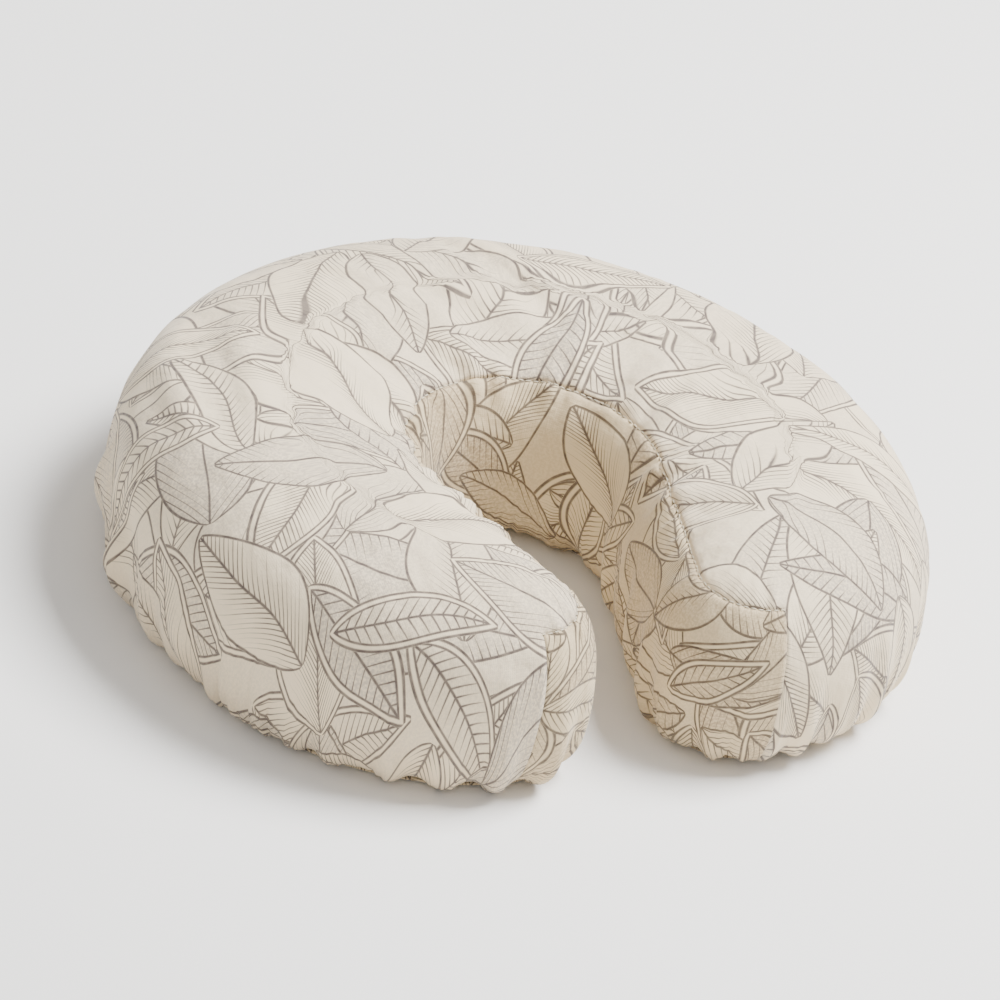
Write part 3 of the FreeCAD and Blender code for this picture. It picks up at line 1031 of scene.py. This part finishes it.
def gathered_hem():
    """The casing that the elastic gathers in under the pad: a flat tube of cloth with many pleats."""
    outline = Outline(COVER_OFF, 1.3)
    start = COVER_SECTION.depths[-1] - 1.5
    width, height = (HEM_REACH - start) / 2, 0.85
    turn = np.linspace(0, 2 * math.pi, 18, endpoint=False)
    across, rise = np.cos(turn), np.sin(turn)
    level = 1.35
    pleats = 0.3 * ripples(outline.along, 5.5, 12) - 0.35 * np.abs(ripples(outline.along, 4.1, 13))
    sway = 0.7 * ripples(outline.along, 11, 14)
    points = []
    for x, z in zip(across, rise):
        inwards = (x + 1) / 2
        depth = start + width * (x + 1) + inwards * sway
        high = level + height * np.sign(z) * abs(z) ** 0.7 + np.sign(z) * pleats * (0.3 + 0.7 * inwards)
        ring = outline.points - outline.normals * depth[:, None]
        points.append(at_height(ring, np.clip(high, 0.15, 2.55)))
    faces = wall_faces(len(turn), outline.count, closed=True)
    hem = mesh_object("cover_gathered_hem_cloth", np.concatenate(points), faces, COTTON_HEM)
    laid_out = [outline.points + outline.normals * (78 + 12 * (x + 1)) for x in across]
    add_map(hem.data, "Cloth", np.concatenate(laid_out) * MM)
    outwards(hem)
    around = 2 * (HEM_REACH - start + height)
    length = GATHERED * (outline.length - 2 * math.pi * (start + width))
    return thickened(hem, HEM_COTTON), (length * MM, around * MM, length * around * MM**2)


def cut_size(mesh, map_name):
    """What a piece of cloth was cut to, from its map: width, length and area, in metres."""
    mesh.calc_loop_triangles()
    triangles = rows_of(mesh.loop_triangles, "loops", 3, int)
    flat = rows_of(mesh.uv_layers[map_name].data, "uv", 2)
    a, b, c = flat[triangles].transpose(1, 0, 2)
    doubled = (b - a)[:, 0] * (c - a)[:, 1] - (b - a)[:, 1] * (c - a)[:, 0]
    return (*np.ptp(flat[triangles.ravel()], axis=0), np.abs(doubled).sum() / 2)


sheet, shell = cover_sheet()
settle_cloth(sheet, shell)
sheet = subdivided(sheet)
crease_cloth(sheet)
cover_top, cover_lining = parted(sheet, TOP, "cover_top_cloth"), parted(sheet, LINING, "cover_lining_cloth")
top_cut, lining_cut = cut_size(cover_top.data, "Cloth"), cut_size(cover_lining.data, "Round")
cover_top = thick_cloth(cover_top, COTTON_TOP, COTTON_BACK)
cover_lining = thick_cloth(cover_lining, SHADED_COTTON_LINING, COTTON_BACK)
seam_stitches = stitched("cover_seam_stitches", seam_path(sheet), 0.6, COTTON_THREAD, 2.8, False)
bpy.data.objects.remove(sheet)
cover_hem, hem_cut = gathered_hem()
hem_line = Outline(COVER_OFF, 2.0)
hem_path = hem_line.points - hem_line.normals * (COVER_SECTION.depths[-1] + 1.2)
hem_stitches = stitched("cover_hem_stitches", at_height(hem_path, 0.55), 0.5, COTTON_THREAD, 3.0)

# ---------------------------------------------------------------- the pad's pieces

VINYL_THICKNESS = 1.0
SKIN_OFF, FOAM_OFF = -0.8, -2.6  # from the plan, outwards
PAD_SECTION = Section(
    crown_depth=44, belly=34, high=PAD_HIGH - 0.3, low=PAD_LOW + 0.1, tuck=13, fullness=2.55
)
FOAM_SECTION = Section(
    crown_depth=42, belly=34, high=PAD_HIGH - 2.8, low=PAD_LOW + 2.2, tuck=12, fullness=2.5
)
SKIN_SPACING = 4.2
PAD_PANELS = ("top_panel", "outer_band", "inner_band", "bottom_panel")


def pad_skin():
    """The four vinyl panels, as one closed shell with seams sunk between them."""
    shell = Shell(SKIN_OFF, PAD_SECTION, SKIN_SPACING, closed=True)
    loop_heights = PAD_SECTION.loops(RIM_DEPTH, SKIN_SPACING)[1]
    top_run, bottom_run = (
        shell.loop_runs[np.abs(loop_heights - level).argmin()] for level in (TOP_SEAM, BOTTOM_SEAM)
    )
    piece = mesh_object("pad_skin", shell.points, shell.faces)
    add_map(piece.data, "Round", np.stack([shell.along, shell.run], 1) * MM)
    add_map(piece.data, "Cloth", shell.points[:, :2] * MM)
    slots = []
    for face in shell.faces:
        runs = shell.run[list(face)]
        if runs.max() <= top_run + 0.1:
            slots.append(0)
        elif runs.min() >= bottom_run - 0.1:
            slots.append(3)
        else:
            slots.append(2 if shell.inner[list(face)].all() else 1)
    piece.data.polygons.foreach_set("material_index", slots)
    piece = subdivided(piece)
    points, normals = coordinates(piece.data), point_normals(piece.data)
    _, around = cloth_maps(piece.data)
    along, run = around.T
    push = np.zeros(len(points))
    for level in (top_run, bottom_run):
        push -= 0.8 * np.exp(-(((run - level) / 1.6) ** 2))
        push += 0.35 * ripples(along, 8, 21 + round(level)) * np.exp(-(((run - level) / 9) ** 2))
    push += 0.5 * ripples(points[:, 0], 70, 23) * ripples(points[:, 1], 60, 24) * smooth(40, 60, points[:, 2])
    push = np.minimum(push, 0.5) * smooth(3.0, 6.0, points[:, 2])
    set_coordinates(piece.data, points + normals * push[:, None])
    return piece, (top_run, bottom_run)


def ring_path(run, sunk):
    """A line round the pad at that run below the crown, sunk a little into the skin."""
    outline = Outline(SKIN_OFF, 2.0)
    depth = np.interp(run, PAD_SECTION.runs, PAD_SECTION.depths)
    height = np.interp(run, PAD_SECTION.runs, PAD_SECTION.heights)
    return at_height(outline.points - outline.normals * (depth + sunk), height)


def foam_layer(name, material, keep_above):
    """One of the two foam layers, cut flat where it meets the other."""
    shell = Shell(FOAM_OFF, FOAM_SECTION, 6.0, closed=True)
    piece = mesh_object(name, shell.points, shell.faces, material)
    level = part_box("comfort_foam")[0].z if keep_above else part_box("support_foam")[1].z
    cut = {"plane_co": (0, 0, level), "clear_inner": keep_above, "clear_outer": not keep_above}
    with editing(piece.data) as work:
        geometry = work.verts[:] + work.edges[:] + work.faces[:]
        bmesh.ops.bisect_plane(work, geom=geometry, plane_no=(0, 0, 1), **cut)
        bmesh.ops.holes_fill(work, edges=[edge for edge in work.edges if edge.is_boundary])
        bmesh.ops.recalc_face_normals(work, faces=work.faces)
        bmesh.ops.triangulate(work, faces=work.faces)
    return piece


def loop_tape(place, degrees):
    """One piece of loop tape, with the pile down, and its line of stitches."""
    low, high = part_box("loop_tape_" + place)
    middle = np.array([(low.x + high.x) / 2 / MM, (low.y + high.y) / 2 / MM + FOOTPRINT_Y])
    length = TAPE_LENGTHS[place == "forehead"]
    turn = math.radians(degrees)
    axes = np.array([[math.cos(turn), math.sin(turn)], [-math.sin(turn), math.cos(turn)]])
    rng = np.random.default_rng(31)
    grid = [
        (x, y)
        for x in np.arange(-TAPE_WIDTH / 2 + 1.2, TAPE_WIDTH / 2 - 1.1, TAPE_PILE)
        for y in np.arange(-length / 2 + 1.2, length / 2 - 1.1, TAPE_PILE)
    ]
    spots = np.array(grid) + rng.uniform(-0.35, 0.35, (len(grid), 2))
    roots = at_height(spots @ axes + middle, TAPE_BASE)
    sizes = {"Width": 1.6, "Height": 1.15, "Yarn": 0.16}
    pile = grown("loop_tape_pile_" + place, roots, [], LOOPS, LOOP_TAPE, sizes)
    corners = rounded_corners(TAPE_WIDTH, length, 2.5)
    rim = corners @ axes + middle
    count = len(rim)
    points = np.concatenate([at_height(rim, height) for height in (TAPE_BASE, TAPE_TOP)])
    faces = [tuple(range(count))[::-1], tuple(range(count, 2 * count)), *wall_faces(2, count)]
    backing = mesh_object("loop_tape_backing_" + place, points, faces, LOOP_TAPE)
    backing.data.polygons.foreach_set("use_smooth", [False] * len(faces))
    outwards(backing)
    line = rounded_corners(TAPE_WIDTH - 6, length - 6, 1.0) @ axes + middle
    path = at_height(line, 0.75)
    threads = stitched("loop_tape_stitches_" + place, path, 0.7, POLYESTER_THREAD, 3.2)
    return joined("loop_tape_" + place + "_pile", [backing, pile], LOOP_TAPE), threads


def rounded_corners(width, length, radius):
    """Points round a rectangle with rounded corners, about its middle."""
    points = []
    for index, (x, y) in enumerate(((1, 1), (-1, 1), (-1, -1), (1, -1))):
        centre = np.array([x * (width / 2 - radius), y * (length / 2 - radius)])
        angles = np.linspace(0, UP, 7) + index * UP
        points.append(centre + radius * np.column_stack([np.cos(angles), np.sin(angles)]))
    return np.concatenate(points)


def joined(name, pieces, material):
    """Several pieces as one, in one material."""
    mesh = bpy.data.meshes.new(name)
    with editing(mesh) as work:
        for piece in pieces:
            work.from_mesh(piece.data)
    for piece in pieces:
        bpy.data.objects.remove(piece)
    return in_materials(linked(name, mesh), material)


TAPE_WIDTH, TAPE_PILE = 25.0, 2.0
TAPE_BASE, TAPE_TOP = 1.35, 2.5
TAPE_LENGTHS = 66.0, 80.0
TEMPLE, CHEEK = 34.0, -20.0
TAPES = {
    "forehead": 90.0,
    "right_temple": TEMPLE,
    "left_temple": 180.0 - TEMPLE,
    "right_cheek": CHEEK,
    "left_cheek": 180.0 - CHEEK,
}

skin, seam_runs = pad_skin()
panels = [
    thickened(in_materials(parted(skin, slot, "pad_" + name + "_vinyl"), VINYL), VINYL_THICKNESS)
    for slot, name in enumerate(PAD_PANELS)
]
bpy.data.objects.remove(skin)
pad_stitches = [
    stitched(f"pad_{name}_seam_stitches", ring_path(run, 0.35), 0.7, POLYESTER_THREAD)
    for name, run in zip(("top", "bottom"), seam_runs)
]
comfort = foam_layer("comfort_foam_layer", COMFORT_FOAM, True)
support = foam_layer("support_foam_layer", SUPPORT_FOAM, False)

# ---------------------------------------------------------------- what each piece stands for


def stand_for(piece, body, slot, *nodes):
    """Says which body a piece rides on, and hides the CAD nodes that it replaces. The slot is not used."""
    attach(piece, body)
    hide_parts(*nodes)


stand_for(cover_top, "cover", "printed_cotton", "cover_top_panel")
stand_for(cover_lining, "cover", "printed_cotton_lining", "cover_inner_panel")
stand_for(seam_stitches, "cover", "cotton_thread", "cover_seam_thread")
stand_for(cover_hem, "cover", "printed_cotton_hem", "cover_gathered_hem")
stand_for(hem_stitches, "cover", "cotton_thread", "cover_hem_thread")
for panel, name in zip(panels, PAD_PANELS):
    stand_for(panel, "pad", "vinyl", "pad_" + name)
for threads, name in zip(pad_stitches, ("top", "bottom")):
    stand_for(threads, "pad", "polyester_thread", f"pad_{name}_seam_thread")
stand_for(comfort, "pad", "comfort_foam", "comfort_foam")
stand_for(support, "pad", "support_foam", "support_foam")
for place, degrees in TAPES.items():
    tape, threads = loop_tape(place, degrees)
    stand_for(tape, "pad", "loop_tape", "loop_tape_" + place)
    stand_for(threads, "pad", "polyester_thread", "loop_tape_thread_" + place)
in_materials(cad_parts["cover_elastic"], ELASTIC)

# ---------------------------------------------------------------- floor, lights and camera

floor = linked("floor", bpy.data.meshes.new("floor"))
floor.data.from_pydata([(-3, -3, 0), (3, -3, 0), (3, 3, 0), (-3, 3, 0)], [], [(0, 1, 2, 3)])
floor_material, _, floor_shader = new_material("painted_floor_matt")
floor_shader.inputs["Base Color"].default_value = linear("#F4F3F1")
floor_shader.inputs["Roughness"].default_value = 0.8
floor.data.materials.append(floor_material)


def area_light(name, place, energy, size, target=(0, 0, 0.03)):
    light = bpy.data.lights.new(name, "AREA")
    light.energy = energy
    light.size = size
    lamp = linked(name, light)
    lamp.location = place
    lamp.rotation_euler = (Vector(place) - Vector(target)).to_track_quat("Z", "Y").to_euler()


area_light("key", (0.85, -0.1, 1.5), 92, 0.8)
area_light("fill", (-1.6, -1.3, 1.3), 8, 1.6)
world = bpy.data.worlds.new("studio")
world.use_nodes = True
world.node_tree.nodes["Background"].inputs["Color"].default_value = linear("#FCFBFA")
world.node_tree.nodes["Background"].inputs["Strength"].default_value = 0.66
bpy.context.scene.world = world

azimuth, elevation, roll = (math.radians(angle) for angle in (-32, 32, 13))
back = Vector(
    (
        math.sin(azimuth) * math.cos(elevation),
        -math.cos(azimuth) * math.cos(elevation),
        math.sin(elevation),
    )
)
camera = linked("camera", bpy.data.cameras.new("camera"))
camera.data.lens = 340
camera.data.clip_end = 20
camera.rotation_mode = "QUATERNION"
tilt = Matrix.Rotation(roll, 3, "Z").to_quaternion()
camera.rotation_quaternion = back.to_track_quat("Z", "Y") @ tilt
camera.location = Vector((0, 0, 0.035)) + back * 3.5
bpy.context.scene.camera = camera
